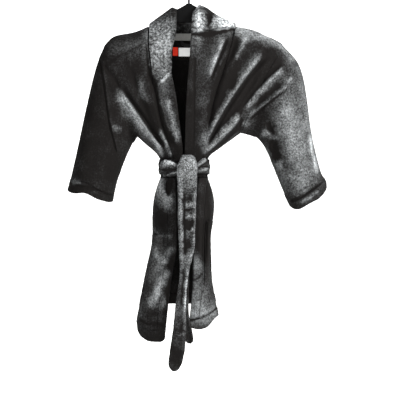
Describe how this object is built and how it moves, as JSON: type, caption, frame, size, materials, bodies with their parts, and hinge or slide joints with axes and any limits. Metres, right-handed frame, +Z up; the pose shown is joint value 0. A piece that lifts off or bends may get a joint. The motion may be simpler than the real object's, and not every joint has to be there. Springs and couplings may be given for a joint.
{
  "type": "bathrobe",
  "caption": "Child's short hooded bathrobe of charcoal plush, hung on a black hanger and tied at the waist with a soft belt.",
  "frame": {"origin": "inner top of the hanger's hook, where the rail bears", "axes": "+Z up, -Y the robe's front, +X the wearer's left"},
  "size_m": [0.5359, 0.1682, 0.8195],
  "materials": {
    "robe_plush": "short dense plush, charcoal, silvery where the pile turns to the light",
    "hem_plush": "the same plush, turned and stitched",
    "band_plush": "the same plush, faced edge band",
    "hood_plush": "the same plush, with the deeper pile of the inside turned out",
    "belt_plush": "the same plush, doubled",
    "neck_tape": "light grey herringbone tape",
    "loop_tape": "black woven tape",
    "label_white": "plain white satin label",
    "tab_red": "plain red woven tab",
    "hanger_plastic": "black moulded plastic",
    "hook_wire": "dark plated wire"
  },
  "bodies": {
    "hook": {"hanger_hook": "hook_wire"},
    "robe": {"hanger_body": "hanger_plastic", "back_panel": "robe_plush", "back_hem": "hem_plush", "right_front_bodice": "robe_plush", "left_front_bodice": "robe_plush", "right_front_band": "band_plush", "left_front_band": "band_plush", "right_collar": "hood_plush", "left_collar": "hood_plush", "neck_tape": "neck_tape", "label": "label_white", "size_tab": "tab_red", "belt_waist": "belt_plush", "belt_knot": "belt_plush", "right_belt_loop": "robe_plush", "left_belt_loop": "robe_plush"},
    "right_sleeve": {"right_sleeve": "robe_plush", "right_cuff": "hem_plush"},
    "left_sleeve": {"left_sleeve": "robe_plush", "left_cuff": "hem_plush"},
    "right_skirt": {"right_front_skirt": "robe_plush", "right_skirt_band": "band_plush", "right_front_hem": "hem_plush", "right_pocket": "robe_plush", "right_pocket_hem": "hem_plush"},
    "left_skirt": {"left_front_skirt": "robe_plush", "left_skirt_band": "band_plush", "left_front_hem": "hem_plush", "left_pocket": "robe_plush", "left_pocket_hem": "hem_plush"},
    "hood": {"hood_right_half": "hood_plush", "hood_left_half": "hood_plush", "hood_hem": "hem_plush"},
    "long_tail": {"belt_tail_long": "belt_plush"},
    "short_tail": {"belt_tail_short": "belt_plush"},
    "peg_loop": {"hanging_loop": "loop_tape"}
  },
  "joints": [
    {"name": "hook_swivel", "type": "hinge", "parent": "hook", "child": "robe", "pos_m": [0, 0, -0.056], "axis": [0, 0, 1], "continuous": true},
    {"name": "right_sleeve_lift", "type": "hinge", "parent": "robe", "child": "right_sleeve", "pos_m": [-0.176, 0, -0.144], "axis": [0, 1, 0], "range_deg": [0, 60]},
    {"name": "left_sleeve_lift", "type": "hinge", "parent": "robe", "child": "left_sleeve", "pos_m": [0.188, 0, -0.139], "axis": [0, -1, 0], "range_deg": [0, 60]},
    {"name": "right_front_open", "type": "hinge", "parent": "robe", "child": "right_skirt", "pos_m": [-0.066, 0, -0.411], "axis": [-0.1441, 0, -0.9896], "range_deg": [0, 35]},
    {"name": "left_front_open", "type": "hinge", "parent": "robe", "child": "left_skirt", "pos_m": [0.05, 0, -0.411], "axis": [-0.0526, 0, 0.9986], "range_deg": [0, 12]},
    {"name": "hood_lift", "type": "hinge", "parent": "robe", "child": "hood", "pos_m": [0.0065, 0.005, -0.097], "axis": [1, 0, 0], "range_deg": [0, 45]},
    {"name": "long_tail_swing", "type": "hinge", "parent": "robe", "child": "long_tail", "pos_m": [-0.001, -0.062, -0.419], "axis": [-1, 0, 0], "range_deg": [0, 70]},
    {"name": "short_tail_swing", "type": "hinge", "parent": "robe", "child": "short_tail", "pos_m": [-0.001, -0.062, -0.419], "axis": [-1, 0, 0], "range_deg": [0, 70]},
    {"name": "peg_loop_flip", "type": "hinge", "parent": "robe", "child": "peg_loop", "pos_m": [0.0025, 0.037, -0.123], "axis": [-1, 0, 0], "range_deg": [0, 120]}
  ],
  "couplings": [
    {"joint": "short_tail_swing", "follows": "long_tail_swing", "ratio": 1}
  ]
}
